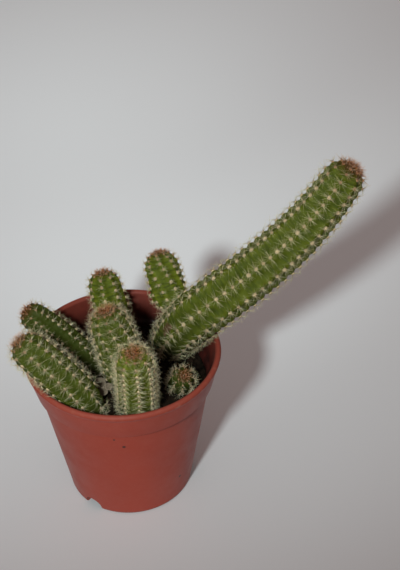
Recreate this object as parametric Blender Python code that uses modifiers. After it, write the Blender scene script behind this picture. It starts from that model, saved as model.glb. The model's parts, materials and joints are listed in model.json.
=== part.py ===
"""A peanut cactus in a small plastic nursery pot: eight ribbed finger stems, soil and three flat grit stones.

Metres, +Z up. The origin is the centre of the pot's underside, on the surface that the pot stands on. The long
stem leans out over the rim towards +X. The short ones stand round the middle or lean over the rim towards -X."""

import math
from collections import namedtuple

import bmesh
import bpy
from mathutils import Vector
from mathutils.geometry import interpolate_bezier

MM = 0.001
GAP = 0.3 * MM  # between two pieces that touch

# The pot: a tapering body under a wider collar that ends in a rounded lip.
POT_HEIGHT = 48.0 * MM
BASE_RADIUS = 18.3 * MM
SHOULDER_Z = 38.7 * MM  # where the body meets the collar
SHOULDER_RADIUS = 24.4 * MM
COLLAR_RADIUS = 25.4 * MM  # at the collar's lower edge
RIM_RADIUS = 27.5 * MM
WALL = 0.9 * MM
LIP_RADIUS = 0.85 * MM  # the lip is this thick either side of its middle
FLOOR_THICKNESS = 1.2 * MM
CORNER_RADIUS = 0.8 * MM
COLLAR_STEP = 0.3 * MM  # height and width of the chamfers where the body steps out to the collar
INNER_STEP_LOW = 0.5 * MM  # the inside steps out from this far under the shoulder
INNER_STEP_HIGH = 0.6 * MM  # to this far over it
COLLAR_WALL = 1.1 * MM  # the flared collar's wall, measured level
POT_SIDES = 64

# Drainage notches through the lower corner of the pot, one of them at the front left.
NOTCH_COUNT = 3
NOTCH_RADIUS = 2.75 * MM
NOTCH_CENTRE_Z = 0.75 * MM
NOTCH_INNER_R = 13.0 * MM
NOTCH_OUTER_R = 21.0 * MM
NOTCH_FIRST_ANGLE = math.radians(-125)

# The soil: a low mound that stops 10 mm under the rim.
SOIL_Z = 38.0 * MM
SOIL_CROWN = 0.5 * MM
SOIL_SIDES = 48

# The stems: ribbed fingers with a narrow foot and a domed tip.
RIBS = 8
RIB_DEPTH = 0.045  # as a share of the radius, either way
POINTS_PER_RIB = 3
FOOT_LENGTH = 0.2  # the share of the length over which a stem swells from its foot
TAPER_START = 0.3  # the share of the length where the taper to the tip begins
LINE_POINTS = 64  # on a stem's curve, before the rings are placed along it
BODY_RINGS = 8
DOME_STEPS = (0.0, 0.35, 0.62, 0.83, 0.95)  # along the dome, as a share of its height
BURIED = 3.0 * MM  # how far a foot reaches into the soil
CURL_START = 0.5  # the share of the curve where the curl begins

# A finger is swept along a cubic curve: its foot, the two points that the curve bends towards, and its tip (mm),
# then its girth radius (mm), and the radius at the foot and at the tip as shares of it. Its upper part can curl
# away from that curve, by this much at the tip (mm).
Finger = namedtuple("Finger", "foot rise lean tip girth foot_share tip_share curl", defaults=[(0.0, 0.0, 0.0)])
STEMS = {
    "long_stem": Finger(
        (12.1, 12.3, 38.0), (18.2, 0.9, 62.1), (44.3, 4.3, 68.7), (65.5, 31.8, 87.2), 6.8, 0.64, 0.73,
        curl=(-2.8, -16.9, 10.4),
    ),
    "back_left_stem": Finger(
        (-1.7, 14.0, 38.0), (-3.2, 15.5, 45.0), (-4.9, 18.0, 52.2), (-6.4, 20.6, 59.9), 4.85, 0.86, 0.86
    ),
    "middle_stem": Finger(
        (1.6, -3.8, 38.0), (0.0, -4.3, 47.5), (-1.8, -4.1, 56.0), (-3.8, -2.4, 64.3), 5.45, 0.86, 0.86
    ),
    "front_stem": Finger(
        (4.0, -14.2, 38.0), (4.5, -16.4, 46.0), (4.8, -18.6, 55.0), (4.4, -21.7, 65.3), 4.7, 0.9, 0.9
    ),
    "left_front_stem": Finger(
        (-7.9, -14.9, 38.0), (-13.5, -14.2, 48.2), (-20.0, -13.2, 55.9), (-26.6, -12.3, 62.2), 5.1, 0.72, 0.88
    ),
    "left_back_stem": Finger(
        (-9.5, 3.7, 38.0), (-15.0, 5.2, 46.0), (-21.0, 5.6, 52.4), (-27.0, 5.0, 58.5), 4.25, 0.86, 0.86
    ),
    "small_right_stem": Finger(
        (15.4, -4.8, 38.0), (15.9, -6.3, 40.7), (16.6, -7.9, 43.6), (17.2, -9.3, 46.1), 3.15, 0.9, 0.94
    ),
}
# The offset grows on the long stem's back, so its foot stops at that stem's skin and not in the soil.
OFFSET = Finger(
    (14.6, 15.5, 49.5), (12.7, 18.8, 52.8), (11.2, 22.2, 57.2), (10.3, 26.0, 62.8), 5.0, 0.36, 0.86
)

# Flat round grit stones, wedged between the stems over the soil: centre (mm), radius (mm).
GRIT = {
    "grit_stone_1": ((-6.4, -6.2, 40.8), 1.7),
    "grit_stone_2": ((-5.4, -9.4, 40.6), 1.35),
    "grit_stone_3": ((-3.7, -9.7, 42.7), 1.1),
}
GRIT_FLATNESS = 0.35
GRIT_TILT = math.radians(32)  # towards -Y


def clear_scene():
    for obj in list(bpy.data.objects):
        bpy.data.objects.remove(obj, do_unlink=True)


def new_collection(name):
    collection = bpy.data.collections.new(name)
    bpy.context.scene.collection.children.link(collection)
    return collection


def new_material(name, colour, roughness):
    material = bpy.data.materials.new(name)
    material.use_nodes = True
    shader = material.node_tree.nodes["Principled BSDF"]
    shader.inputs["Base Color"].default_value = (*colour, 1.0)
    shader.inputs["Roughness"].default_value = roughness
    shader.inputs["Metallic"].default_value = 0.0
    return material


def add_object(name, data, collection, material=None):
    obj = bpy.data.objects.new(name, data)
    collection.objects.link(obj)
    if material:
        obj.data.materials.append(material)
    return obj


def as_cutter(obj):
    obj.hide_render = True
    obj.display_type = "WIRE"
    return obj


def turned(name, profile, sides, collection, material):
    """A solid of revolution about Z, from a profile of (radius, z) that starts and ends on the axis."""
    mesh = bpy.data.meshes.new(name)
    points = [(r, 0.0, z) for r, z in profile]
    mesh.from_pydata(points, [(i, i + 1) for i in range(len(points) - 1)], [])
    obj = add_object(name, mesh, collection, material)
    screw = obj.modifiers.new("Turn", "SCREW")
    screw.steps = screw.render_steps = sides
    screw.use_merge_vertices = True
    screw.merge_threshold = 0.00001
    screw.use_smooth_shade = True
    return obj


def cut(obj, cutters):
    for cutter in cutters:
        boolean = obj.modifiers.new("Cut " + cutter.name, "BOOLEAN")
        boolean.operation = "DIFFERENCE"
        boolean.object = cutter


def arc(centre_r, centre_z, radius, start, end, steps):
    """Points on an arc in the profile plane, from angle start to angle end in degrees."""
    angles = [math.radians(start + (end - start) * i / steps) for i in range(steps + 1)]
    return [(centre_r + radius * math.cos(a), centre_z + radius * math.sin(a)) for a in angles]


def wall_radius(z):
    """The pot body's outer radius at a height below the collar."""
    return BASE_RADIUS + (SHOULDER_RADIUS - BASE_RADIUS) * z / SHOULDER_Z


def pot_profile():
    lip_r = RIM_RADIUS - LIP_RADIUS
    lip_z = POT_HEIGHT - LIP_RADIUS
    inner_floor_r = wall_radius(FLOOR_THICKNESS) - WALL
    inside = [
        (0.0, FLOOR_THICKNESS),
        (inner_floor_r, FLOOR_THICKNESS),
        (SHOULDER_RADIUS - WALL, SHOULDER_Z - INNER_STEP_LOW),
        (COLLAR_RADIUS - COLLAR_WALL, SHOULDER_Z + INNER_STEP_HIGH),
    ]
    lip = arc(lip_r, lip_z, LIP_RADIUS, 180, 0, 6)
    collar = [
        (COLLAR_RADIUS, SHOULDER_Z + COLLAR_STEP),
        (COLLAR_RADIUS - COLLAR_STEP, SHOULDER_Z),
        (SHOULDER_RADIUS, SHOULDER_Z - COLLAR_STEP),
    ]
    corner = arc(BASE_RADIUS - CORNER_RADIUS, CORNER_RADIUS, CORNER_RADIUS, 0, -90, 4)
    return inside + lip + collar + corner + [(0.0, 0.0)]


def notch_cutters(tag, grow, collection):
    """One lying cylinder for each notch, whose upper part cuts an arch through the pot's lower corner."""
    cutters = []
    for i in range(NOTCH_COUNT):
        angle = NOTCH_FIRST_ANGLE + math.tau * i / NOTCH_COUNT
        inner = NOTCH_INNER_R - grow
        middle = (inner + NOTCH_OUTER_R) / 2
        bpy.ops.mesh.primitive_cylinder_add(
            vertices=32,
            radius=NOTCH_RADIUS + grow,
            depth=NOTCH_OUTER_R - inner,
            location=(middle * math.cos(angle), middle * math.sin(angle), NOTCH_CENTRE_Z),
            rotation=(0.0, math.pi / 2, angle),
        )
        cutter = bpy.context.object
        cutter.name = f"{tag}_{i + 1}"
        for owner in list(cutter.users_collection):
            owner.objects.unlink(cutter)
        collection.objects.link(cutter)
        cutters.append(as_cutter(cutter))
    return cutters


def build_pot(parts, cutters, material):
    pot = turned("pot", pot_profile(), POT_SIDES, parts, material)
    cut(pot, notch_cutters("notch", 0.0, cutters))


def soil_profile():
    """The soil fills the pot up to SOIL_Z, GAP clear of its wall and floor."""
    bottom_z = FLOOR_THICKNESS + GAP
    top_r = wall_radius(SOIL_Z) - WALL - GAP
    bottom_r = wall_radius(bottom_z) - WALL - GAP
    mound = [
        (top_r * share, SOIL_Z + SOIL_CROWN * math.cos(math.pi * share) / 2)
        for share in (0.0, 0.25, 0.5, 0.75, 1.0)
    ]
    return mound + [(bottom_r, bottom_z), (0.0, bottom_z)]


def rib_section(collection):
    """The stem's cross-section at radius 1, as a closed outline with one rounded crest for each rib."""
    curve = bpy.data.curves.new("rib_section", "CURVE")
    curve.dimensions = "2D"
    spline = curve.splines.new("POLY")
    count = RIBS * POINTS_PER_RIB
    spline.points.add(count - 1)
    for i, point in enumerate(spline.points):
        angle = math.tau * i / count
        r = 1.0 + RIB_DEPTH * math.cos(RIBS * angle)
        point.co = (r * math.cos(angle), r * math.sin(angle), 0.0, 1.0)
    spline.use_cyclic_u = True
    return as_cutter(add_object("rib_section", curve, collection))


def stem_radius(along, length, girth, foot, top):
    """The radius at a distance along the stem: it swells from the foot, tapers and closes as a dome."""
    share = along / length
    swell = foot + (1 - foot) * math.sin(math.pi / 2 * min(share / FOOT_LENGTH, 1.0))
    taper = 1 - (1 - top) * max(0.0, (share - TAPER_START) / (1 - TAPER_START)) ** 2
    into_dome = max(0.0, along - (length - girth * top)) / (girth * top)
    return girth * swell * taper * math.sqrt(max(0.0, 1 - into_dome**2))


def stem_stations(line, dome):
    """Distances along the centre line for the rings: even on the body, closer together on the dome."""
    length = sum((b - a).length for a, b in zip(line, line[1:]))
    body = length - dome
    stations = [body * i / BODY_RINGS for i in range(BODY_RINGS)]
    return stations + [body + dome * step for step in DOME_STEPS], length


def point_along(line, distance):
    for a, b in zip(line, line[1:]):
        step = (b - a).length
        if distance <= step:
            return a.lerp(b, distance / step)
        distance -= step
    return line[-1]


def curled(line, curl):
    """The line with its upper part moved by up to curl, more and more towards the tip."""
    last = len(line) - 1
    shares = [max(0.0, i / last - CURL_START) / (1 - CURL_START) for i in range(len(line))]
    return [point + curl * share**2 for point, share in zip(line, shares)]


def tube_mesh(name, points, radii, section, collection):
    """A mesh with the given section swept along the points, its end caps welded on."""
    curve = bpy.data.curves.new(name, "CURVE")
    curve.dimensions = "3D"
    curve.bevel_mode = "OBJECT"
    curve.bevel_object = section
    curve.use_fill_caps = True
    spline = curve.splines.new("POLY")
    spline.points.add(len(points) - 1)
    for point, at, radius in zip(spline.points, points, radii):
        point.co = (*at, 1.0)
        point.radius = radius
    swept = add_object(name + "_curve", curve, collection)
    graph = bpy.context.evaluated_depsgraph_get()
    mesh = bpy.data.meshes.new_from_object(swept.evaluated_get(graph))
    mesh.name = name
    bpy.data.objects.remove(swept, do_unlink=True)
    cage = bmesh.new()
    cage.from_mesh(mesh)
    bmesh.ops.remove_doubles(cage, verts=cage.verts, dist=0.00001)
    bmesh.ops.recalc_face_normals(cage, faces=cage.faces)
    cage.to_mesh(mesh)
    cage.free()
    mesh.shade_smooth()
    return mesh


def stem_mesh(name, finger, section, collection, buried=0.0, grow=0.0):
    """A ribbed finger along a cubic curve. grow makes the pocket that leaves room for it in the soil."""
    corners = [Vector(p) * MM for p in (finger.foot, finger.rise, finger.lean, finger.tip)]
    girth, foot, top = finger.girth * MM, finger.foot_share, finger.tip_share
    line = curled(interpolate_bezier(*corners, LINE_POINTS), Vector(finger.curl) * MM)
    stations, length = stem_stations(line, girth * top)
    points = [point_along(line, s) for s in stations]
    radii = [stem_radius(s, length, girth, foot, top) + grow for s in stations]
    if buried:
        down = (line[0] - line[1]).normalized()
        points.insert(0, line[0] + down * (buried + grow))
        radii.insert(0, radii[0])
    return tube_mesh(name, points, radii, section, collection)


def build_stems(parts, cutters, material):
    """The stems that stand in the soil and the offset, and the cutters for the stems' pockets."""
    section = rib_section(cutters)
    pockets = []
    for name, finger in STEMS.items():
        mesh = stem_mesh(name, finger, section, parts, BURIED)
        add_object(name, mesh, parts, material)
        pocket = stem_mesh(name + "_pocket", finger, section, cutters, BURIED, GAP)
        pockets.append(as_cutter(add_object(name + "_pocket", pocket, cutters)))
    add_object("offset_stem", stem_mesh("offset_stem", OFFSET, section, parts), parts, material)
    return pockets


def build_soil(parts, cutters, pockets, material):
    soil = turned("soil", soil_profile(), SOIL_SIDES, parts, material)
    cut(soil, pockets + notch_cutters("soil_notch", GAP, cutters))


def build_grit(parts, material):
    """Each stone is a flattened ball that lies tilted between the stems."""
    for name, (centre, radius) in GRIT.items():
        ball = bmesh.new()
        bmesh.ops.create_uvsphere(ball, u_segments=16, v_segments=8, radius=radius * MM)
        bmesh.ops.scale(ball, vec=(1.0, 1.0, GRIT_FLATNESS), verts=ball.verts)
        mesh = bpy.data.meshes.new(name)
        ball.to_mesh(mesh)
        ball.free()
        mesh.shade_smooth()
        stone = add_object(name, mesh, parts, material)
        stone.location = Vector(centre) * MM
        stone.rotation_euler = (GRIT_TILT, 0.0, 0.0)


def main():
    clear_scene()
    parts = new_collection("potted_cactus")
    cutters = new_collection("cutters")
    terracotta = new_material("terracotta_plastic", (0.26, 0.05, 0.033), 0.42)
    flesh = new_material("cactus_green", (0.07, 0.14, 0.03), 0.5)
    earth = new_material("potting_soil", (0.012, 0.008, 0.006), 0.95)
    stone = new_material("grit_stone", (0.16, 0.12, 0.1), 0.8)
    build_pot(parts, cutters, terracotta)
    pockets = build_stems(parts, cutters, flesh)
    build_soil(parts, cutters, pockets, earth)
    build_grit(parts, stone)


main()
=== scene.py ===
"""The looks of the potted peanut cactus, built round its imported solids.

Metres, +Z up, in the solids' own frame. Every stem is measured off its solid (centre line and girth) and
grown again as ribbed skin with tubercles, woolly areoles and fine spines. The pot, the soil and the grit
stones are turned or modelled again at the solids' sizes, with the detail that the solids leave out."""

import json
import math

import bmesh
import bpy
import numpy as np
from mathutils import Matrix, Vector, noise
from mathutils.bvhtree import BVHTree

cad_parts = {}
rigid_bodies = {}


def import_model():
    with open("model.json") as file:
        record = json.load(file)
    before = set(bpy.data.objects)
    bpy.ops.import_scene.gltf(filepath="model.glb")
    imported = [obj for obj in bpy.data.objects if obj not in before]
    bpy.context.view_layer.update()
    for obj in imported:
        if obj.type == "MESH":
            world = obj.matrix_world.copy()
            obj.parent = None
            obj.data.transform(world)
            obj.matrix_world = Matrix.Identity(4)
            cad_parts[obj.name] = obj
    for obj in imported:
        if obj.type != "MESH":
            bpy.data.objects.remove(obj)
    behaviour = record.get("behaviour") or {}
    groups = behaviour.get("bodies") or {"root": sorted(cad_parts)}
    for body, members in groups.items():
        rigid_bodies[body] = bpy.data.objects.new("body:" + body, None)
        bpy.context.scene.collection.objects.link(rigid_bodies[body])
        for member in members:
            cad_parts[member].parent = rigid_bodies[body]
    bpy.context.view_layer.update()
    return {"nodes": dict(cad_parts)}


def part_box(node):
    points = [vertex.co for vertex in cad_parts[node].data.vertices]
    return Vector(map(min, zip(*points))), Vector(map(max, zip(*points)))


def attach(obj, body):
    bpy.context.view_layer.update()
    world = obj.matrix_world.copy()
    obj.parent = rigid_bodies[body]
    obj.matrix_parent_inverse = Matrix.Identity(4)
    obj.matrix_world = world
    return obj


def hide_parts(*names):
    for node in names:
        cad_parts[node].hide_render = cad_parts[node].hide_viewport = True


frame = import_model()

MM = 0.001
TAU = math.tau
UP = Vector((0.0, 0.0, 1.0))

# ---------------------------------------------------------------- the stems' pattern
COLUMNS_PER_RIB = 14
RING_STEP = 0.26 * MM
FIRST_RING = 0.12 * MM  # the reach of the ring nearest the tip
DOME_STEPS = 60
SLICE_RAYS = 24
SLICE_STEP = 0.8 * MM
LINE_STEPS = 300
GIRTH_WINDOW = 2.5 * MM  # the girth is averaged over this length
LONG_RUN = 50 * MM  # a centre line longer than this has more bends to fit
RIB_RISE = 0.05  # crest over groove, as a share of the radius
BUMP_RISE = 0.085  # tubercle over the notch between two tubercles, as a share of the radius
MEAN_RISE = 0.055  # the height of the pattern that lies at the solid's girth, as a share of the radius
BUNCHED_REACH = 3.5 * MM  # how far from the tip the areoles stand closer together
BUNCHING = 0.6  # how much of their spacing is lost at the very tip
STONE_SPACE = 9 * MM  # how far over a grit stone there are no spines
STONE_MARGIN = 0.3 * MM  # how far round a grit stone there are none
# The wrinkles' dark lines in the flesh's colour are partly painted shadows of the spines.
WRINKLES_PER_MM = 2.5  # fine wrinkles across the stem
WRINKLE_BREAKS = 1.8  # how often a wrinkle is broken on its way round
PAD_SIDES = 9
PAD_LEVELS = (0.0, 0.45, 0.8)
FIBRES_PER_PAD = 16
FIBRE_RADIUS = 0.032 * MM
TUFT_THICKNESS = 1.35  # a new spine's thickness, as a share of an old one's
FACING = np.array((0.0, -0.791, 0.612))  # forwards and up, the side that angles round a stem start from

# For each stem: the number of ribs, the turn of the first one at the tip (degrees) and how it twists from
# there (degrees to a mm), the areoles' spacing and the radius of their pads (mm), the number of spines to
# an areole, their length and radius (mm), how far they stand off the skin (degrees) and the share of them
# that stands up, how far the foot is sunk into what it grows from (mm), how far from the tip the growth is
# young and red-brown (mm), how many new spines stand in the tuft at the tip, how far its green is
# darkened as painted shade for a stem that sits in shade (1 is the darkest), the height over the soil in
# which its foot is darkened as painted shade (mm), and a healed scar's reach (mm), angle (degrees) and
# half sizes (mm).
LOOKS = {
    "long_stem": dict(
        ribs=8, turn=-4, twist=0.0, spacing=2.62, pad=0.57, spines=22, length=3.1, fine=0.039,
        stand=12, upright=0.09, sink=0.0, bloom=5.0, tuft=210, deep=0.35, foot_shade_height=24,
        scar=(71.0, -28.0, 1.9, 1.2),
    ),
    "offset_stem": dict(
        ribs=9, turn=-27, twist=3.6, spacing=1.9, pad=0.46, spines=14, length=1.7, fine=0.042,
        stand=20, upright=0.2, sink=1.2, bloom=3.4, tuft=90, deep=0.0, foot_shade_height=9,
    ),
    "back_left_stem": dict(
        ribs=8, turn=-8, twist=0.0, spacing=2.2, pad=0.46, spines=14, length=2.0, fine=0.042,
        stand=22, upright=0.3, sink=0.0, bloom=3.0, tuft=90, deep=0.1, foot_shade_height=9,
    ),
    "middle_stem": dict(
        ribs=10, turn=-14, twist=2.2, spacing=2.4, pad=0.45, spines=20, length=2.7, fine=0.035,
        stand=16, upright=0.22, sink=0.0, bloom=3.0, tuft=70, deep=0.6, foot_shade_height=9,
    ),
    "front_stem": dict(
        ribs=8, turn=9, twist=0.1, spacing=2.35, pad=0.47, spines=28, length=2.8, fine=0.032,
        stand=18, upright=0.24, sink=0.0, bloom=2.6, tuft=90, deep=0.0, foot_shade_height=9,
    ),
    "left_front_stem": dict(
        ribs=8, turn=-6, twist=0.0, spacing=2.5, pad=0.46, spines=22, length=2.9, fine=0.036,
        stand=16, upright=0.22, sink=0.0, bloom=3.0, tuft=80, deep=0.68, foot_shade_height=9,
    ),
    "left_back_stem": dict(
        ribs=8, turn=-8, twist=0.0, spacing=2.1, pad=0.36, spines=11, length=2.1, fine=0.038,
        stand=24, upright=0.3, sink=0.0, bloom=3.0, tuft=60, deep=0.95, foot_shade_height=9,
    ),
    "small_right_stem": dict(
        ribs=8, turn=20, twist=0.0, spacing=1.7, pad=0.3, spines=10, length=2.2, fine=0.038,
        stand=30, upright=0.5, sink=0.0, bloom=2.0, tuft=60, deep=1.0, foot_shade_height=5,
    ),
}


# ---------------------------------------------------------------- helpers for meshes
def set_values(mesh, **values):
    """Gives each value to the mesh's points, as an attribute that its material reads."""
    for label, value in values.items():
        layer = mesh.attributes.new(label, "FLOAT", "POINT")
        layer.data.foreach_set("value", np.asarray(value, np.float32))


def mesh_object(name, points, faces, material, **values):
    """A smooth-shaded mesh piece, with values at its points for its material."""
    mesh = bpy.data.meshes.new(name)
    mesh.from_pydata([tuple(p) for p in points], [], [tuple(f) for f in faces])
    mesh.validate()
    set_values(mesh, **values)
    mesh.shade_smooth()
    mesh.materials.append(material)
    piece = bpy.data.objects.new(name, mesh)
    bpy.context.scene.collection.objects.link(piece)
    return piece


def grid_faces(rows, columns):
    """Quads of a grid of rows that each close into a ring."""
    i, j = np.meshgrid(np.arange(rows - 1), np.arange(columns), indexing="ij")
    here, beside = i * columns + j, i * columns + (j + 1) % columns
    return np.stack([here, beside, beside + columns, here + columns], -1).reshape(-1, 4)


def fan(centre, first, columns, flipped=False):
    """Triangles between a centre point and the ring of points that starts at number first."""
    faces = [(centre, first + j, first + (j + 1) % columns) for j in range(columns)]
    return [face[::-1] for face in faces] if flipped else faces


def face_outwards(mesh, weld=None):
    """Turns a closed mesh's faces outwards, after welding the points nearer to each other than weld."""
    cage = bmesh.new()
    cage.from_mesh(mesh)
    if weld:
        bmesh.ops.remove_doubles(cage, verts=cage.verts, dist=weld)
    bmesh.ops.recalc_face_normals(cage, faces=cage.faces)
    cage.to_mesh(mesh)
    cage.free()


def smoothstep(x):
    x = np.clip(x, 0.0, 1.0)
    return x * x * (3 - 2 * x)


def unit(v):
    return v / np.maximum(np.linalg.norm(v, axis=-1, keepdims=True), 1e-12)


def outward(angle):
    """The level direction at an angle round the pot's axis."""
    return Vector((math.cos(angle), math.sin(angle), 0.0))


def solid_tree(node):
    mesh = frame["nodes"][node].data
    return BVHTree.FromPolygons([v.co for v in mesh.vertices], [p.vertices for p in mesh.polygons])


# ---------------------------------------------------------------- helpers for materials
class Nodes:
    """Short calls for a material's node tree."""

    def __init__(self, name, **constants):
        self.material = bpy.data.materials.new(name)
        self.material.use_nodes = True
        self.tree = self.material.node_tree
        self.shader = self.tree.nodes["Principled BSDF"]
        for socket, value in constants.items():
            self.shader.inputs[socket.replace("_", " ")].default_value = value
        self.place = self.tree.nodes.new("ShaderNodeTexCoord").outputs["Object"]

    def add(self, kind, inputs, output=0, **settings):
        node = self.tree.nodes.new(kind)
        for key, value in settings.items():
            setattr(node, key, value)
        for socket, value in inputs.items():
            if isinstance(value, bpy.types.NodeSocket):
                self.tree.links.new(value, node.inputs[socket])
            else:
                node.inputs[socket].default_value = value
        return node.outputs[output]

    def noise(self, scale, detail=3.0, roughness=0.55, vector=None):
        inputs = {"Vector": vector or self.place, "Scale": scale, "Detail": detail, "Roughness": roughness}
        return self.add("ShaderNodeTexNoise", inputs)

    def cells(self, scale):
        return self.add("ShaderNodeTexVoronoi", {"Vector": self.place, "Scale": scale})

    def value(self, label):
        return self.add("ShaderNodeAttribute", {}, output="Fac", attribute_name=label)

    def values(self, *labels):
        return [self.value(label) for label in labels]

    def vector(self, *labels):
        return self.add("ShaderNodeCombineXYZ", dict(zip("XYZ", self.values(*labels))))

    def span(self, value, low, high, start=0.0, end=1.0):
        """The value's range from low to high, mapped smoothly to start to end."""
        inputs = {"Value": value, "From Min": low, "From Max": high, "To Min": start, "To Max": end}
        return self.add("ShaderNodeMapRange", inputs, interpolation_type="SMOOTHSTEP")

    def math(self, operation, a, b):
        return self.add("ShaderNodeMath", {0: a, 1: b}, operation=operation)

    def mix(self, share, a, b):
        """Colour a where share is 0, b where it is 1. Sockets 6, 7 and 2 are the node's colour ones."""
        a, b = ((*colour, 1.0) if isinstance(colour, tuple) else colour for colour in (a, b))
        return self.add("ShaderNodeMix", {0: share, 6: a, 7: b}, output=2, data_type="RGBA")

    def link(self, value, socket):
        self.tree.links.new(value, self.shader.inputs[socket])

    def bump(self, height, distance, strength):
        inputs = {"Height": height, "Distance": distance, "Strength": strength}
        self.link(self.add("ShaderNodeBump", inputs), "Normal")


# ---------------------------------------------------------------- materials
def flesh_material():
    n = Nodes(
        "cactus_flesh",
        Subsurface_Weight=0.06,
        Subsurface_Scale=0.4 * MM,
        IOR=1.36,
        Specular_IOR_Level=0.13,
    )
    crest, young, scar, clean, deep = n.values("crest", "young", "scar", "clean", "deep")
    mottle = n.noise(420.0, 4.0)
    grain = n.noise(2600.0, 3.0)
    wrinkles = n.noise(1.0, 3.0, 0.6, n.vector("wrinkle_x", "wrinkle_y", "wrinkle_z"))
    shade = n.span(mottle, 0.3, 0.7)
    # Painted shade: the grooves and the notches between tubercles are painted darker than the crests and
    # the tubercles' tops.
    groove = n.mix(shade, (0.055, 0.071, 0.004), (0.087, 0.106, 0.006))
    ridge = n.mix(shade, (0.089, 0.107, 0.007), (0.126, 0.142, 0.011))
    rib_shaded = n.mix(n.span(crest, 0.05, 0.85), groove, ridge)
    # Painted shade: the whole green is darkened by each stem's own share, for stems that sit in shade.
    green = n.mix(deep, rib_shaded, (0.028, 0.036, 0.004))
    # Dark lines along the wrinkles: partly real wrinkles, partly painted shadows of the spines.
    wrinkles_and_spine_shadows = n.mix(n.span(wrinkles, 0.47, 0.62, 0.0, 0.75), green, (0.024, 0.035, 0.003))
    # Pale flecks: painted highlights on the waxy skin.
    painted_glints = n.mix(n.span(grain, 0.45, 0.80, 0.0, 0.16), wrinkles_and_spine_shadows, (0.17, 0.19, 0.06))
    tender = n.mix(n.span(young, 0.10, 0.9, 0.0, 0.9), painted_glints, (0.050, 0.018, 0.004))
    corky = n.mix(n.span(n.noise(1500.0, 4.0), 0.35, 0.65), (0.075, 0.034, 0.018), (0.19, 0.105, 0.070))
    # Painted shade at the foot: the skin darkens towards the soil.
    n.link(n.mix(clean, (0.022, 0.024, 0.006), n.mix(scar, tender, corky)), "Base Color")
    n.link(n.span(grain, 0.3, 0.7, 0.50, 0.68), "Roughness")
    pores = n.math("MULTIPLY", n.cells(3800.0), 0.35)
    rough = n.math("ADD", n.math("ADD", pores, grain), n.math("MULTIPLY", wrinkles, 2.2))
    n.bump(n.math("ADD", rough, n.math("MULTIPLY", scar, n.noise(1800.0))), 0.10 * MM, 0.6)
    return n.material


def wool_material():
    n = Nodes("areole_wool", Roughness=0.95, Sheen_Weight=0.2, Sheen_Roughness=0.5, Specular_IOR_Level=0.2)
    fluff = n.noise(5200.0, 4.0)
    cream = n.mix(n.span(fluff, 0.3, 0.7), (0.42, 0.30, 0.16), (0.72, 0.57, 0.36))
    brown = n.mix(n.span(fluff, 0.3, 0.7), (0.13, 0.030, 0.006), (0.38, 0.13, 0.035))
    worn = n.mix(n.value("young"), cream, brown)
    # Painted shade at the foot: the wool darkens towards the soil.
    n.link(n.mix(n.value("clean"), (0.10, 0.075, 0.045), worn), "Base Color")
    n.bump(n.noise(9000.0, 3.0), 0.08 * MM, 0.7)
    return n.material


def spine_material():
    n = Nodes(
        "cactus_spines",
        Roughness=0.5,
        Specular_IOR_Level=0.3,
        Subsurface_Weight=0.1,
        Subsurface_Scale=0.1 * MM,
    )
    young, reach, upright = n.values("young", "reach", "upright")
    streak = n.span(n.noise(1800.0, 2.0), 0.3, 0.7)
    glassy = n.mix(streak, (0.40, 0.37, 0.19), (0.68, 0.61, 0.39))
    cream = n.mix(upright, glassy, n.mix(streak, (0.54, 0.46, 0.30), (0.82, 0.71, 0.52)))
    aged = n.mix(n.span(reach, 0.0, 0.3, 0.6, 0.0), cream, (0.33, 0.18, 0.08))
    rusty = n.mix(n.span(reach, 0.1, 1.0), (0.16, 0.022, 0.004), (0.66, 0.24, 0.055))
    n.link(n.mix(young, aged, rusty), "Base Color")
    return n.material


BEYOND_THE_POT = 60 * MM
# Dark specks in the pot's plastic: azimuth (degrees), height and size (mm).
SPECKS = ((-88.7, 33.3, 0.62), (-94.6, 36.5, 0.42), (-40.7, 9.8, 0.62))


def pot_material():
    n = Nodes("pot_plastic", IOR=1.46, Specular_IOR_Level=0.44)
    cloud = n.noise(38.0, 5.0)
    fleck = n.noise(900.0, 2.0)
    red = n.mix(n.span(cloud, 0.3, 0.7), (0.258, 0.033, 0.017), (0.292, 0.039, 0.021))
    dusty = n.mix(n.span(fleck, 0.45, 0.8, 0.0, 0.15), red, (0.33, 0.080, 0.048))
    scuffs = n.span(n.noise(520.0, 4.0), 0.52, 0.72, 0.0, 0.45)
    rubbed = n.mix(n.math("MULTIPLY", n.value("rub"), scuffs), dusty, (0.42, 0.19, 0.13))
    # Painted shade inside the pot: the inner wall is painted dark, nearly as dark just under the lip as
    # further down.
    inner = n.mix(n.span(n.noise(300.0, 4.0), 0.35, 0.7), (0.020, 0.004, 0.003), (0.060, 0.009, 0.006))
    soiled = n.mix(n.value("soiled"), rubbed, inner)
    # Painted shade on the lip: its top is painted a darker red.
    tree, colour = solid_tree("pot"), n.mix(n.value("lip"), soiled, (0.175, 0.027, 0.014))
    for azimuth, height, size in SPECKS:
        out = outward(math.radians(azimuth))
        spot = tree.ray_cast(out * BEYOND_THE_POT + UP * height * MM, -out)[0]
        apart = n.add("ShaderNodeVectorMath", {0: n.place, 1: spot}, output=1, operation="DISTANCE")
        colour = n.mix(n.span(apart, 0.5 * size * MM, size * MM, 0.95, 0.0), colour, (0.030, 0.010, 0.008))
    n.link(colour, "Base Color")
    matt = n.math("MULTIPLY", n.value("lip"), 0.35)
    n.link(n.math("ADD", n.span(n.noise(160.0, 4.0), 0.3, 0.7, 0.42, 0.54), matt), "Roughness")
    n.bump(n.math("ADD", n.noise(1400.0, 2.0), n.math("MULTIPLY", cloud, 3.0)), 0.03 * MM, 0.35)
    return n.material


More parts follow.
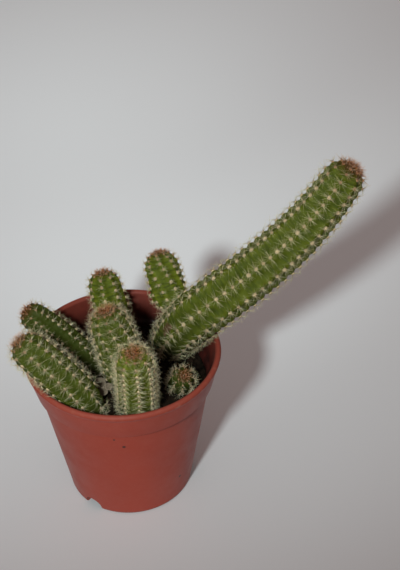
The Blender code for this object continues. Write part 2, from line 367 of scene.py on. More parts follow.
def soil_material():
    n = Nodes("potting_soil", Roughness=0.97, Specular_IOR_Level=0.06)
    clod = n.noise(700.0, 6.0, 0.7)
    peat = n.mix(n.span(clod, 0.35, 0.65), (0.004, 0.003, 0.002), (0.020, 0.012, 0.007))
    n.link(n.mix(n.span(n.cells(1500.0), 0.0, 0.13, 0.45, 0.0), peat, (0.055, 0.034, 0.021)), "Base Color")
    n.bump(n.noise(2600.0, 5.0, 0.7), 0.4 * MM, 0.9)
    return n.material


def grit_material():
    n = Nodes("grit_stone", Roughness=0.85, Specular_IOR_Level=0.15)
    grain = n.noise(1500.0, 5.0, 0.65)
    stone = n.mix(n.span(grain, 0.3, 0.7), (0.085, 0.065, 0.043), (0.145, 0.112, 0.078))
    n.link(n.mix(n.value("rim"), stone, (0.21, 0.165, 0.12)), "Base Color")
    n.bump(grain, 0.12 * MM, 0.6)
    return n.material


def floor_material():
    n = Nodes("paper_floor", Roughness=0.85)
    n.link(n.mix(n.noise(6.0, 3.0), (0.735, 0.750, 0.775), (0.765, 0.780, 0.800)), "Base Color")
    n.bump(n.noise(2200.0, 3.0), 0.04 * MM, 0.25)
    return n.material


# ---------------------------------------------------------------- the stems
def slice_centre(tree, centre, tangent):
    """The middle of the solid's slice at a centre near it, and the slice's mean radius."""
    side = tangent.orthogonal().normalized()
    other = tangent.cross(side)
    rays = [math.cos(a) * side + math.sin(a) * other for a in np.arange(0, TAU, TAU / SLICE_RAYS)]
    for _ in range(5):
        hits = [tree.ray_cast(centre, ray) for ray in rays]
        centre = centre + sum(((hit[0] - centre) for hit in hits), Vector()) / len(rays)
    return centre, sum(hit[3] for hit in hits) / len(rays)


def march(tree, centre, tangent, room):
    """Slice centres and radii from a centre along the solid, until its end is nearer than room radii."""
    found = []
    while True:
        centre, radius = slice_centre(tree, centre, tangent)
        if found:
            tangent = (tangent + (centre - found[-1][0]).normalized() * 0.5).normalized()
        end, _, _, left = tree.ray_cast(centre, tangent)
        found.append((centre, radius))
        if left < max(room * radius, SLICE_STEP):
            return found, end
        centre = centre + tangent * SLICE_STEP


def centre_line(points, tree):
    """The middle line of a finger-shaped solid, in even steps from foot to tip, and its girth there."""
    low = points[points[:, 2].argmin()]
    chord = points[np.linalg.norm(points - low, axis=1).argmax()] - low
    share = (points - low) @ chord / (chord @ chord)
    start = Vector(points[share < 0.12].mean(axis=0)) + Vector(chord) * 0.05
    start, _ = slice_centre(tree, start, Vector(chord).normalized())
    up, tip = march(tree, start, Vector(chord).normalized(), 1.0)
    down, foot = march(tree, start, -(up[2][0] - start).normalized(), 0.3)
    slices = down[:0:-1] + up
    places = np.array([foot] + [c for c, _ in slices] + [tip])
    run = np.concatenate([[0.0], np.cumsum(np.linalg.norm(np.diff(places, axis=0), axis=1))])
    even = np.linspace(0.0, run[-1], LINE_STEPS)
    degree = 8 if run[-1] > LONG_RUN else 4
    fits = [np.polynomial.Polynomial.fit(run, places[:, axis], degree) for axis in range(3)]
    line = np.stack([fit(even) for fit in fits], axis=1)
    girth = np.interp(even, run[1:-1], [radius for _, radius in slices])
    window = max(3, round(GIRTH_WINDOW / even[1]))
    padded = np.pad(girth, window, mode="edge")
    smooth = np.convolve(padded, np.ones(window) / window, mode="same")[window:-window]
    return line, even, smooth


class Stem:
    """A stem measured off its solid, with the pattern of its ribs.

    A place on its skin is given by its reach, the distance along the skin from the tip, and by its angle
    round the stem."""

    def __init__(self, node, look):
        self.node, self.look = node, look
        self.rng = np.random.default_rng(sum(map(ord, node)))
        self.ribs = look["ribs"]
        points = np.array([v.co for v in frame["nodes"][node].data.vertices])
        line, run, girth = centre_line(points, solid_tree(node))
        tangent = unit(np.gradient(line, axis=0))
        side = unit(FACING - (tangent @ FACING)[:, None] * tangent)
        other = np.cross(tangent, side)
        self.line, self.run, self.axes = line, run, (tangent, side, other)
        self.shape_profile(girth)
        self.grow_pattern()

    def shape_profile(self, girth):
        """The radius and tilt of the skin along the stem: the solid's girth, ending in a half sphere."""
        length = self.run[-1]
        dome = girth[int(0.6 * len(girth))]
        for _ in range(8):
            dome = np.interp(length - dome, self.run, girth)
        beta = np.linspace(0.0, math.pi / 2, DOME_STEPS)
        body = np.arange(length - dome - RING_STEP, -self.look["sink"] * MM, -RING_STEP)
        radius = np.interp(body, self.run, girth)
        self.along = np.concatenate([length - dome + dome * np.cos(beta), body])
        self.radius = np.concatenate([dome * np.sin(beta), radius])
        lean = -np.arctan(np.gradient(radius, body))
        self.tilt = np.concatenate([math.pi / 2 - beta, lean])
        steps = np.hypot(np.diff(self.along), np.diff(self.radius))
        self.reach = np.concatenate([[0.0], np.cumsum(steps)])

    def grow_pattern(self):
        """How many areoles lie between the tip and each reach: close together where the stem grows."""
        spacing = self.look["spacing"] * MM * (1 - BUNCHING * np.exp(-self.reach / BUNCHED_REACH))
        middle = (spacing[1:] + spacing[:-1]) / 2
        self.grown = np.concatenate([[0.0], np.cumsum(np.diff(self.reach) / middle)])
        self.shift = self.rng.uniform(-0.08, 0.08, self.ribs)

    def rib_angle(self, rib, reach):
        """The angle of a rib's crest at a reach. Half ribs lie in the grooves."""
        return np.radians(self.look["turn"] + self.look["twist"] * reach / MM) + TAU * rib / self.ribs

    def skin(self, reach, angle, height=0.0):
        """Places on the skin, with the outward normal, the direction towards the tip and the one across."""
        along = np.interp(reach, self.reach, self.along)
        radius = np.interp(reach, self.reach, self.radius)
        tilt = np.interp(reach, self.reach, self.tilt)[..., None]
        centre, tangent, side, other = (
            np.stack([np.interp(along, self.run, row[:, axis]) for axis in range(3)], axis=-1)
            for row in (self.line, *self.axes)
        )
        before = np.minimum(along, 0.0)[..., None]
        centre = centre + before * tangent
        out = np.cos(angle)[..., None] * side + np.sin(angle)[..., None] * other
        normal = unit(np.cos(tilt) * out + np.sin(tilt) * tangent)
        tipward = unit(np.cos(tilt) * tangent - np.sin(tilt) * out)
        place = centre + radius[..., None] * out + np.asarray(height)[..., None] * normal
        return place, normal, tipward, np.cross(normal, tipward)

    def relief(self, reach, angle):
        """The height of the pattern over the plain skin, and how near the place is to a crest, 0 to 1."""
        sector = (angle - self.rib_angle(0, reach)) / (TAU / self.ribs)
        rib = np.round(sector)
        across = 2 * (sector - rib)
        rib = rib.astype(int) % self.ribs
        phase = np.interp(reach, self.reach, self.grown) + rib / self.ribs + self.shift[rib]
        crest = 0.5 + 0.5 * np.cos(math.pi * across)
        bump = np.abs(np.cos(math.pi * phase)) ** 0.8
        grown = smoothstep(reach / (3.0 * MM))
        radius = np.interp(reach, self.reach, self.radius)
        rise = RIB_RISE * crest + BUMP_RISE * crest * bump - MEAN_RISE
        return radius * grown * rise, crest * (0.35 + 0.65 * bump)

    def youth(self, reach):
        """1 at the tip, falling to 0 where the growth is old."""
        return np.exp(-((reach / (self.look["bloom"] * MM)) ** 2))

    def areoles(self, soil_top):
        """Reach and angle of every areole above the soil."""
        places = []
        for rib in range(self.ribs):
            offset = rib / self.ribs + self.shift[rib]
            counts = np.arange(1, int(self.grown[-1]) + 2) - offset
            counts = counts[(counts > 0.6) & (counts < self.grown[-1])]
            reach = np.interp(counts, self.grown, self.reach)
            places += [(r, self.rib_angle(rib, r)) for r in reach]
        reach, angle = np.array(places).T
        place = self.skin(reach, angle)[0]
        above = (place[:, 2] > soil_top) & clear_of_stones(place)
        return reach[above], angle[above]


def out_of_foot_shade(stem, height):
    """The share of light that the painted shade at the stem's foot leaves at a height: least in the soil,
    rising to 1.
    """
    return 0.12 + 0.88 * smoothstep((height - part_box("soil")[1].z) / (stem.look["foot_shade_height"] * MM))


def clear_of_stones(points):
    """Whether each point is clear of every grit stone and of the space over it, where no spines grow."""
    clear = np.ones(len(points), bool)
    for low, high in (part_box(node) for node in frame["nodes"] if node.startswith("grit")):
        apart = points - np.array((low + high) / 2)
        over = apart @ FACING
        aside = np.linalg.norm(apart - over[:, None] * FACING, axis=1)
        radius = (high - low).x / 2
        clear &= (over < -1 * MM) | (over > STONE_SPACE) | (aside > radius + STONE_MARGIN)
    return clear


def healed_scar(stem, reach, angle):
    """How much of a healed scar is at each place, 0 to 1, and how far it raises the skin."""
    at_reach, at_angle, long_way, round_way = stem.look["scar"]
    turned = (angle - math.radians(at_angle) + math.pi) % TAU - math.pi
    past, aside = reach - at_reach * MM, turned * np.interp(reach, stem.reach, stem.radius)
    far = np.hypot(past / (long_way * MM), aside / (round_way * MM))
    wobble = 0.25 * np.sin(5 * np.arctan2(aside, past)) + 0.15 * np.sin(4000 * reach)
    scar = smoothstep((1.25 + wobble - far) / 0.5)
    return scar, 0.10 * MM * scar * np.sin(6200 * reach + 9 * angle) - 0.22 * MM * scar


def build_skin(stem, material):
    """The ribbed skin: rings from the tip to the foot, closed at both ends."""
    columns = stem.ribs * COLUMNS_PER_RIB
    rings = np.arange(FIRST_RING, stem.reach[-1], RING_STEP)
    reach, rib = np.meshgrid(rings, np.arange(columns) / COLUMNS_PER_RIB, indexing="ij")
    angle = stem.rib_angle(rib, reach)
    height, crest = stem.relief(reach, angle)
    scar = np.zeros_like(reach)
    if "scar" in stem.look:
        scar, raised = healed_scar(stem, reach, angle)
        height = height + raised
    place = stem.skin(reach, angle, height)[0].reshape(-1, 3)
    tip = stem.skin(np.array([0.0]), np.array([0.0]))[0]
    foot = place[-columns:].mean(axis=0, keepdims=True)
    points = np.concatenate([place, tip, foot])
    faces = [tuple(q[::-1]) for q in grid_faces(len(rings), columns)]
    faces += fan(len(place), 0, columns)
    faces += fan(len(place) + 1, len(place) - columns, columns, flipped=True)

    def with_ends(values, at_tip=0.0, at_foot=0.0):
        return np.concatenate([values.reshape(-1), [at_tip, at_foot]])

    return mesh_object(
        stem.node + "_skin",
        points,
        faces,
        material,
        # How near each place is to a crest: the flesh paints shade in the grooves and notches from it.
        crest=with_ends(crest, at_tip=1.0),
        young=with_ends(stem.youth(reach), at_tip=1.0),
        scar=with_ends(scar),
        # Painted shade at the foot, darkest in the soil.
        clean=out_of_foot_shade(stem, points[:, 2]),
        # The stem's share of painted shade over its whole skin.
        deep=np.full(len(points), stem.look["deep"]),
        wrinkle_x=with_ends(WRINKLES_PER_MM * reach / MM),
        wrinkle_y=with_ends(WRINKLE_BREAKS * np.cos(angle)),
        wrinkle_z=with_ends(WRINKLE_BREAKS * np.sin(angle)),
    )


def cones(base, direction, droop, length, thick, segments=(0.0, 0.4, 0.75)):
    """Thin bent three-sided cones, one for each row of base.

    Returns points, faces and each point's share of its cone's length."""
    count = len(base)
    helper = np.where(np.abs(direction[:, 2:]) < 0.9, [[0.0, 0.0, 1.0]], [[1.0, 0.0, 0.0]])
    right = unit(np.cross(direction, helper))
    front = np.cross(direction, right)
    rows, shares = [], []
    for share in segments:
        middle = base + length[:, None] * (share * direction + share**2 * droop)
        radius = thick[:, None] * (1 - 0.85 * share)
        for corner in range(3):
            angle = TAU * corner / 3
            rows.append(middle + radius * (math.cos(angle) * right + math.sin(angle) * front))
            shares.append(share)
    rows.append(base + length[:, None] * (direction + droop))
    shares.append(1.0)
    points = np.stack(rows, axis=1).reshape(-1, 3)
    each = []
    for level in range(len(segments) - 1):
        for corner in range(3):
            a, b = 3 * level + corner, 3 * level + (corner + 1) % 3
            each += [(a, b, b + 3), (a, b + 3, a + 3)]
    top = 3 * len(segments)
    each += fan(top, top - 3, 3)
    each.append((2, 1, 0))
    faces = (np.array(each)[None] + (top + 1) * np.arange(count)[:, None, None]).reshape(-1, 3)
    return points, faces, np.tile(shares, count)


def around(normal, tipward, across, turn, stand):
    """Directions that leave the skin at the angle stand, turned round the normal from the tip's side."""
    flat = np.cos(turn)[:, None] * tipward + np.sin(turn)[:, None] * across
    return unit(np.cos(stand)[:, None] * flat + np.sin(stand)[:, None] * normal)


def wool_pads(skin, size, rng):
    """A low felted dome of its own size at each place.

    Returns points, faces and the number of points to a pad."""
    place, normal, tipward, across = skin
    rows = []
    for level in PAD_LEVELS:
        for side in range(PAD_SIDES):
            turn = TAU * side / PAD_SIDES + 0.35 * level
            spread = size * math.cos(math.pi / 2 * level) * rng.uniform(0.82, 1.12, len(size))
            lift = size * (0.62 * math.sin(math.pi / 2 * level) - 0.12) * rng.uniform(0.9, 1.1, len(size))
            rows.append(
                place
                + (spread * 1.12 * math.cos(turn))[:, None] * tipward
                + (spread * 0.9 * math.sin(turn))[:, None] * across
                + lift[:, None] * normal
            )
    rows.append(place + (0.5 * size)[:, None] * normal)
    rows.append(place - (0.2 * size)[:, None] * normal)
    points = np.stack(rows, axis=1).reshape(-1, 3)
    top = PAD_SIDES * len(PAD_LEVELS)
    each = [tuple(q) for q in grid_faces(len(PAD_LEVELS), PAD_SIDES)]
    each += fan(top, top - PAD_SIDES, PAD_SIDES) + fan(top + 1, 0, PAD_SIDES, flipped=True)
    faces = [tuple(v + len(rows) * i for v in face) for i in range(len(size)) for face in each]
    return points, faces, len(rows)


def wool_fibres(skin, size, rng):
    """Short fibres round each pad. Returns points, faces and the number of each point's pad."""
    place, normal, tipward, across = skin
    pick = np.repeat(np.arange(len(size)), FIBRES_PER_PAD)
    turn = rng.uniform(0, TAU, len(pick))
    stand = np.radians(rng.uniform(0, 60, len(pick)))
    direction = around(normal[pick], tipward[pick], across[pick], turn, stand)
    start = place[pick] + (0.5 * size[pick])[:, None] * direction
    length = size[pick] * rng.uniform(0.4, 1.1, len(pick))
    thick = np.full(len(pick), FIBRE_RADIUS)
    points, faces, _ = cones(start, direction, -0.25 * normal[pick], length, thick, (0.0, 0.5))
    return points, faces, np.repeat(pick, len(points) // len(pick))


def build_wool(stem, places, material):
    """A small felted pad at each areole, with short wool fibres round it."""
    reach, angle = places
    skin = stem.skin(reach, angle, stem.relief(reach, angle)[0])
    young = stem.youth(0.6 * reach)
    size = stem.look["pad"] * MM * stem.rng.uniform(0.8, 1.15, len(reach)) * (1 - 0.3 * young)
    pads, faces, to_a_pad = wool_pads(skin, size, stem.rng)
    fibres, hairs, owners = wool_fibres(skin, size, stem.rng)
    faces += [tuple(f + len(pads)) for f in hairs]
    points = np.concatenate([pads, fibres])
    age = np.concatenate([np.repeat(young, to_a_pad), young[owners]])
    # The wool's foot is darkened towards the soil as painted shade.
    return mesh_object(
        stem.node + "_wool", points, faces, material, young=age, clean=out_of_foot_shade(stem, points[:, 2])
    )


def star_spines(stem, places):
    """A star of fine spines from each areole, less those that young growth lacks or a stone rubs off.

    Returns their bases, directions, droops and lengths, how red-brown they are, whether they stand up."""
    reach, angle = places
    rng, look = stem.rng, stem.look
    place, normal, tipward, across = stem.skin(reach, angle, stem.relief(reach, angle)[0])
    pick = np.repeat(np.arange(len(reach)), look["spines"])
    order = np.tile(np.arange(look["spines"]), len(reach))
    turn = TAU * (order + rng.uniform(-0.9, 0.9, len(pick))) / look["spines"]
    turn = turn + 0.35 * np.sin(2 * turn)
    upright = rng.uniform(0, 1, len(pick)) < look["upright"]
    stand = np.radians(look["stand"]) * rng.uniform(0.3, 1.7, len(pick)) + 0.5 * np.cos(turn) ** 4
    stand = np.where(upright, np.radians(rng.uniform(35, 78, len(pick))), stand)
    young = stem.youth(reach[pick])
    stand = stand + (np.radians(70) - stand) * 0.6 * young
    direction = around(normal[pick], tipward[pick], across[pick], turn, stand)
    length = look["length"] * MM * rng.uniform(0.55, 1.15, len(pick))
    length = length * np.where(upright, 0.75, 1.0) * (1 - 0.3 * young)
    droop = rng.uniform(-0.16, 0.02, len(pick))[:, None] * normal[pick]
    base = place[pick] + 0.12 * MM * normal[pick] + 0.15 * MM * direction
    redness = np.clip(young * 1.15 + rng.uniform(-0.25, 0.1, len(pick)), 0, 1)
    kept = rng.uniform(0, 1, len(pick)) > 0.62 * smoothstep(young * 1.6)
    for share in (0.35, 0.7, 1.0):
        kept &= clear_of_stones(base + (share * length)[:, None] * direction)
    return [values[kept] for values in (base, direction, droop, length, redness, upright)]


def tuft_spines(stem):
    """The tuft of new red-brown spines at the tip, with the same values as star_spines."""
    rng, look = stem.rng, stem.look
    count = look["tuft"]
    reach = look["bloom"] * 0.8 * MM * rng.uniform(0, 1, count) ** 0.75
    angle = rng.uniform(0, TAU, count)
    base, normal, tipward, across = stem.skin(reach, angle)
    turn = rng.uniform(0, TAU, count)
    stand = np.radians(rng.uniform(20, 88, count))
    direction = around(normal, tipward, across, turn, stand)
    droop = rng.uniform(-0.1, 0.1, (count, 1)) * across
    length = look["length"] * MM * rng.uniform(0.3, 0.7, count)
    redness = rng.uniform(0, 1, count) ** 0.35
    return base, direction, droop, length, redness, np.ones(count)


def build_spines(stem, places, material):
    """A star of fine spines from each areole, and the tuft of new red-brown spines at the tip."""
    pairs = zip(star_spines(stem, places), tuft_spines(stem))
    base, direction, droop, length, redness, upright = (np.concatenate(pair) for pair in pairs)
    thick = stem.look["fine"] * MM * stem.rng.uniform(0.85, 1.2, len(base))
    thick[-stem.look["tuft"] :] *= TUFT_THICKNESS
    points, faces, shares = cones(base, direction, droop, length, thick)
    each = len(points) // len(base)
    return mesh_object(
        stem.node + "_spines",
        points,
        faces,
        material,
        young=np.repeat(redness, each),
        reach=shares,
        upright=np.repeat(upright, each),
    )


def build_stems(flesh, wool, spines):
    soil_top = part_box("soil")[1].z - 0.6 * MM
    for node, look in LOOKS.items():
        stem = Stem(node, look)
        places = stem.areoles(soil_top)
        skin = build_skin(stem, flesh)
        for piece in (skin, build_wool(stem, places, wool), build_spines(stem, places, spines)):
            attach(piece, "root")
        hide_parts(node)


# ---------------------------------------------------------------- the pot
POT_SIDES = 192
LIP_RADIUS = 0.85 * MM
LIP_STEPS = 15
FLOOR_THICKNESS = 1.2 * MM
NOTCHES = 3
NOTCH_TURN = math.radians(-125)
NOTCH_RADIUS = 2.75 * MM
NOTCH_CENTRE_Z = 0.75 * MM
NOTCH_CENTRE_R = 17  # mm
NOTCH_DEPTH = 8 * MM
WELD = 0.005 * MM  # points of the pot nearer to each other than this are one point


def rounded(corners, steps=4):
    """The points of a profile whose corners (r, z, fillet) are rounded by arcs of the fillet's size."""
    points = []
    for i, (r, z, fillet) in enumerate(corners):
        here = np.array((r, z))
        if fillet == 0 or i in (0, len(corners) - 1):
            points.append(tuple(here))
            continue
        before = unit(np.array(corners[i - 1][:2]) - here)
        after = unit(np.array(corners[i + 1][:2]) - here)
        for step in range(steps + 1):
            t = step / steps
            a = here + before * fillet * (1 - t)
            b = here + after * fillet * t
            points.append(tuple(a * (1 - t) + b * t))
    return points


def pot_profile():
    """Half the pot's section, from the middle of its floor, over the lip, to the middle of its base."""
    tree = solid_tree("pot")
    rim, _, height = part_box("pot")[1]
    out = outward(NOTCH_TURN + math.pi / NOTCHES)

    def outer(z):
        return 2 * rim - tree.ray_cast(out * 2 * rim + UP * z, -out)[3]

    def inner(z):
        return tree.ray_cast(UP * z, out)[3]

    step = 0.1 * MM
    heights = np.arange(0.7 * height, height, step)
    shoulder = next(z for z in heights if outer(z + step) - outer(z) > step / 2)
    top = height - LIP_RADIUS
    lip = rim - LIP_RADIUS
    inside = [
        (0.0, FLOOR_THICKNESS, 0),
        (inner(FLOOR_THICKNESS + 0.05 * MM), FLOOR_THICKNESS, 0.9 * MM),
        (inner(shoulder - 0.4 * MM), shoulder - 0.2 * MM, 0.3 * MM),
        (inner(shoulder + 0.9 * MM), shoulder + 0.8 * MM, 0.3 * MM),
        (lip - LIP_RADIUS, top, 0),
    ]
    turns = np.linspace(0, math.pi, LIP_STEPS)
    arch = [(lip - LIP_RADIUS * math.cos(a), top + LIP_RADIUS * math.sin(a), 0) for a in turns]
    under = outer(top - 1.6 * MM)
    outside = [
        (rim - 0.12 * MM, top - 0.5 * MM, 0.2 * MM),
        (under, top - 1.1 * MM, 0.3 * MM),
        (outer(shoulder + 0.6 * MM), shoulder + 0.42 * MM, 0.22 * MM),
        (outer(shoulder - 0.4 * MM) + 0.1 * MM, shoulder + 0.02 * MM, 0.2 * MM),
        (outer(shoulder - 0.4 * MM), shoulder - 0.4 * MM, 0.2 * MM),
        (outer(2.2 * MM), 1.9 * MM, 0.4 * MM),
        (outer(0.9 * MM), 0.0, 0.9 * MM),
        (0.0, 0.0, 0),
    ]
    return rounded(inside + arch + outside)


def notch_cutter(number):
    """A lying cylinder through the pot's lower corner."""
    out = outward(NOTCH_TURN + TAU * number / NOTCHES)
    shape = bmesh.new()
    sizes = dict(radius1=NOTCH_RADIUS, radius2=NOTCH_RADIUS, depth=NOTCH_DEPTH)
    bmesh.ops.create_cone(shape, cap_ends=True, segments=48, **sizes)
    mesh = bpy.data.meshes.new(f"notch_cutter_{number + 1}")
    shape.to_mesh(mesh)
    shape.free()
    cutter = bpy.data.objects.new(mesh.name, mesh)
    bpy.context.scene.collection.objects.link(cutter)
    place = Matrix.Translation(out * NOTCH_CENTRE_R * MM + UP * NOTCH_CENTRE_Z)
    cutter.matrix_world = place @ out.to_track_quat("Z", "Y").to_matrix().to_4x4()
    return cutter


def turned_pot():
    """The pot's shell, turned from its profile, with the notches cut through it."""
    profile = pot_profile()
    mesh = bpy.data.meshes.new("pot_shell")
    mesh.from_pydata([(r, 0.0, z) for r, z in profile], [(i, i + 1) for i in range(len(profile) - 1)], [])
    pot = bpy.data.objects.new("pot_shell", mesh)
    bpy.context.scene.collection.objects.link(pot)
    screw = pot.modifiers.new("Turn", "SCREW")
    screw.steps = screw.render_steps = POT_SIDES
    screw.use_merge_vertices = True
    screw.merge_threshold = WELD
    cutters = [notch_cutter(i) for i in range(NOTCHES)]
    for cutter in cutters:
        pot.modifiers.new(cutter.name, "BOOLEAN").object = cutter
    bpy.context.view_layer.update()
    graph = bpy.context.evaluated_depsgraph_get()
    shell = bpy.data.meshes.new_from_object(pot.evaluated_get(graph))
    pot.modifiers.clear()
    for cutter in cutters:
        bpy.data.objects.remove(cutter, do_unlink=True)
    pot.data = shell
    face_outwards(shell, WELD)
    shell.shade_smooth()
    shell.set_sharp_from_angle(angle=math.radians(40))
    return pot


def mark_pot(shell):
    """Where the pot is rubbed, painted shade inside, and a matt lip painted darker as shade, for its
    material.
    """
    co = np.array([v.co for v in shell.vertices])
    normal = np.array([v.normal for v in shell.vertices])
    height = co[:, 2]
    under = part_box("pot")[1].z - height
    inward = (normal[:, :2] * co[:, :2]).sum(axis=1) < -0.3 * np.hypot(co[:, 0], co[:, 1])
    set_values(
        shell,
        rub=smoothstep((2.6 * MM - under) / (2.0 * MM)) + smoothstep((2.0 * MM - height) / (2.0 * MM)),
        # Painted shade inside the pot: strong just under the lip and full a few mm further down.
        soiled=inward * (0.78 + 0.22 * smoothstep((under - 0.8 * MM) / (5.5 * MM))),
        # The lip: matt, and painted darker as shade.
        lip=0.8 * smoothstep((1.3 * MM - under) / (0.9 * MM)),
    )


def build_pot(material):
    pot = turned_pot()
    mark_pot(pot.data)
    pot.data.materials.clear()
    pot.data.materials.append(material)
    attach(pot, "root")
    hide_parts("pot")


# ---------------------------------------------------------------- the soil and the grit
SOIL_RINGS, SOIL_COLUMNS = 46, 150
SOIL_DEPTH = 6 * MM  # the pot hides the rest of the soil
CRUMBS = 620
STONE_COLUMNS = 48
# A stone's half section, as shares of its radius and of half its thickness: a hollow top, a raised rim and
# a rounded edge.
STONE_SECTION = (
    (0.25, 0.62), (0.5, 0.66), (0.7, 0.74), (0.82, 0.92), (0.9, 1.0), (0.97, 0.8),
    (1.0, 0.3), (0.98, -0.3), (0.88, -0.75), (0.6, -0.95), (0.25, -1.0),
)


def build_mound(radius, top, material):
    """The crumbly top of the peat: a rough disc, closed below."""
    rows = []
    for i in range(SOIL_RINGS):
        share = (i + 1) / SOIL_RINGS
        for j in range(SOIL_COLUMNS):
            angle = TAU * j / SOIL_COLUMNS
            x, y = radius * share * math.cos(angle), radius * share * math.sin(angle)
            z = top - 0.9 * MM * share**4 + 0.7 * MM * noise.noise(Vector((x, y, 0.0)) * 260)
            z += 0.45 * MM * noise.noise(Vector((x, y, 7.0)) * 900) * (1 - 0.5 * share**6)
            rows.append((x, y, z))
    rows += [(x, y, top - SOIL_DEPTH) for x, y, _ in rows[-SOIL_COLUMNS:]]
    faces = [tuple(q[::-1]) for q in grid_faces(SOIL_RINGS + 1, SOIL_COLUMNS)]
    faces += fan(len(rows), 0, SOIL_COLUMNS)
    faces += fan(len(rows) + 1, SOIL_RINGS * SOIL_COLUMNS, SOIL_COLUMNS, flipped=True)
    rows += [(0.0, 0.0, top), (0.0, 0.0, top - SOIL_DEPTH)]
    return mesh_object("soil_mound", rows, faces, material)


def build_crumbs(radius, top, material):
    """Loose crumbs of peat, scattered over the mound."""
    rng = np.random.default_rng(5)
    ball = bmesh.new()
    bmesh.ops.create_icosphere(ball, subdivisions=1, radius=1.0)
    unit_ball = np.array([v.co for v in ball.verts])
    unit_faces = [[v.index for v in f.verts] for f in ball.faces]
    ball.free()
    points, faces = [], []
    for _ in range(CRUMBS):
        spot = radius * 0.96 * math.sqrt(rng.uniform(0, 1))
        angle = rng.uniform(0, TAU)
        size = 0.35 * MM * (1 + 1.6 * rng.uniform(0, 1) ** 3)
        shape = unit_ball * size * rng.uniform(0.55, 1.25, (len(unit_ball), 1)) * rng.uniform(0.6, 1.2, 3)
        height = top - 0.7 * MM * (spot / radius) ** 4 + 0.1 * MM
        at = np.array((spot * math.cos(angle), spot * math.sin(angle), height))
        faces += [tuple(v + len(points) for v in f) for f in unit_faces]
        points += [tuple(p + at) for p in shape]
    return mesh_object("soil_crumbs", points, faces, material)


def build_soil(material):
    radius, _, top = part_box("soil")[1]
    mound = build_mound(radius, top, material)
    for piece in (mound, build_crumbs(radius, top, material)):
        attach(piece, "root")
    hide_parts("soil")


def measured_stone(node):
    """A stone's middle, radius, half thickness and axes, off its solid."""
    cloud = np.array([v.co for v in frame["nodes"][node].data.vertices])
    middle = (cloud.max(axis=0) + cloud.min(axis=0)) / 2
    _, _, axes = np.linalg.svd(cloud - cloud.mean(axis=0), full_matrices=False)
    normal = axes[2] * np.sign(axes[2][2])
    radius = np.abs((cloud - middle) @ axes[0]).max()
    thick = np.abs((cloud - middle) @ normal).max()
    side = unit(np.cross(normal, (0.0, 1.0, 0.0)))
    return middle, radius, thick, (side, np.cross(normal, side), normal)


def build_stone(node, number, material):
    """A flat round stone with a paler raised rim, at the place and tilt of its solid."""
    middle, radius, thick, (side, front, normal) = measured_stone(node)
    wobble = np.random.default_rng(20 + number).uniform(-0.05, 0.05, 4)
    rows, rim = [], []
    for r, z in STONE_SECTION:
        for j in range(STONE_COLUMNS):
            angle = TAU * j / STONE_COLUMNS
            x, y = math.cos(angle), math.sin(angle)
            swing = 1 + sum(w * math.sin((k + 2) * angle + k) for k, w in enumerate(wobble))
            rough = 1 + 0.08 * noise.noise(Vector((r * x, r * y, z + number)) * 3)
            flat = radius * r * swing * rough * 0.97
            rows.append(middle + flat * (x * side + y * front) + thick * z * rough * normal)
            rim.append(math.exp(-(((r - 0.92) / 0.07) ** 2)) * (z > 0))
    top, bottom, last = len(rows), len(rows) + 1, len(rows) - STONE_COLUMNS
    rows += [middle + 0.6 * thick * normal, middle - thick * normal]
    faces = [tuple(q) for q in grid_faces(len(STONE_SECTION), STONE_COLUMNS)]
    faces += fan(top, 0, STONE_COLUMNS, flipped=True) + fan(bottom, last, STONE_COLUMNS)
    stone = mesh_object(node + "_disc", rows, faces, material, rim=rim + [0.0, 0.0])
    face_outwards(stone.data)
    return stone


def build_grit(material):
    for number, node in enumerate(n for n in frame["nodes"] if n.startswith("grit")):
        stone = build_stone(node, number, material)
        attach(stone, "root")
        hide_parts(node)


# ---------------------------------------------------------------- the studio
FLASH_AT = Vector((-46.0, -231.0, 250.0)) * MM
FLASH_RADIUS = 14 * MM
FLASH_WATTS = 4.4
FLASH_COLOUR = (0.90, 1.0, 0.99)
# The cones of the flash: where each one points (mm), how wide it is (degrees) and its share of the power.
PLANT_CONE = ((20.0, 60.0, 40.0), 140.0, 1.0)
FLOOR_CONES = {
    "floor_beam_wide": ((55.0, 879.0, 0.0), 98.8, 1.09),
    "floor_beam_middle": ((32.0, 429.0, 0.0), 49.4, 0.93),
    "floor_beam_narrow": ((-64.0, 1086.0, 0.0), 47.2, 1.56),
}
ROOM_COLOUR = (0.288, 0.236, 0.222, 1.0)
FLOOR_HALF = 3.0
FLOOR_GAP = 0.05 * MM  # between the floor and the pot's underside
CAMERA_AT = Vector((21.9, -232.3, 249.8)) * MM
CAMERA_PITCH = math.radians(37.74)  # down from the level
CAMERA_ROLL = math.radians(-1.06)
LENS, SENSOR_WIDTH = 69.5, 36.0


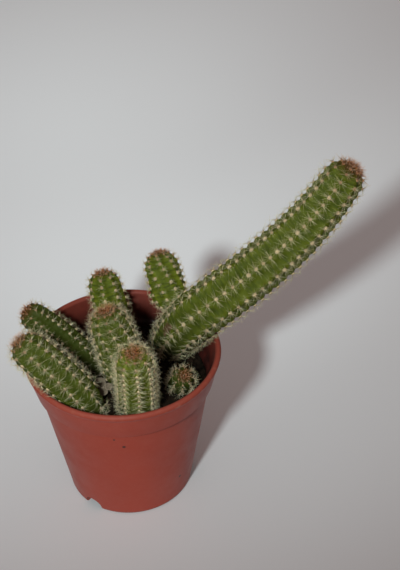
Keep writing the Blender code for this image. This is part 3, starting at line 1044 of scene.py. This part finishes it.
def build_flash(name, aim, cone, share, lit):
    """One cone of the small flash beside the camera.

    The plant and the floor have their own cones, from the same place, so that the floor is lit as evenly
    from front to back as a sheet of paper with a sweep behind it."""
    lamp = bpy.data.lights.new(name, "SPOT")
    lamp.energy = FLASH_WATTS * share
    lamp.shadow_soft_size = FLASH_RADIUS
    lamp.spot_size = math.radians(cone)
    lamp.spot_blend = 1.0
    lamp.color = FLASH_COLOUR
    flash = bpy.data.objects.new(name, lamp)
    flash.location = FLASH_AT
    flash.rotation_euler = (Vector(aim) * MM - FLASH_AT).to_track_quat("-Z", "Y").to_euler()
    bpy.context.scene.collection.objects.link(flash)
    receivers = bpy.data.collections.new(name + "_lights")
    for piece in lit:
        receivers.objects.link(piece)
    flash.light_linking.receiver_collection = receivers


def build_floor():
    mesh = bpy.data.meshes.new("paper_floor")
    corners = [(x * FLOOR_HALF, y * FLOOR_HALF, 0) for x, y in ((-1, -1), (1, -1), (1, 1), (-1, 1))]
    mesh.from_pydata(corners, [], [(0, 1, 2, 3)])
    mesh.materials.append(floor_material())
    floor = bpy.data.objects.new("paper_floor", mesh)
    floor.location.z = -FLOOR_GAP
    bpy.context.scene.collection.objects.link(floor)
    return floor


def build_studio():
    floor = build_floor()
    build_flash("flash", *PLANT_CONE, [o for o in bpy.data.objects if o is not floor])
    for name, cone in FLOOR_CONES.items():
        build_flash(name, *cone, [floor])
    world = bpy.data.worlds.new("studio")
    world.use_nodes = True
    background = world.node_tree.nodes["Background"]
    background.inputs["Color"].default_value = ROOM_COLOUR
    background.inputs["Strength"].default_value = 1.0
    bpy.context.scene.world = world
    bpy.context.scene.view_settings.view_transform = "Standard"


def build_camera():
    data = bpy.data.cameras.new("camera")
    data.lens, data.sensor_width = LENS, SENSOR_WIDTH
    data.clip_start = 10 * MM
    camera = bpy.data.objects.new("camera", data)
    tilt = Matrix.Rotation(math.pi / 2 - CAMERA_PITCH, 4, "X")
    camera.matrix_world = Matrix.Translation(CAMERA_AT) @ tilt @ Matrix.Rotation(CAMERA_ROLL, 4, "Z")
    bpy.context.scene.collection.objects.link(camera)
    bpy.context.scene.camera = camera


build_stems(flesh_material(), wool_material(), spine_material())
build_pot(pot_material())
build_soil(soil_material())
build_grit(grit_material())
build_camera()
build_studio()
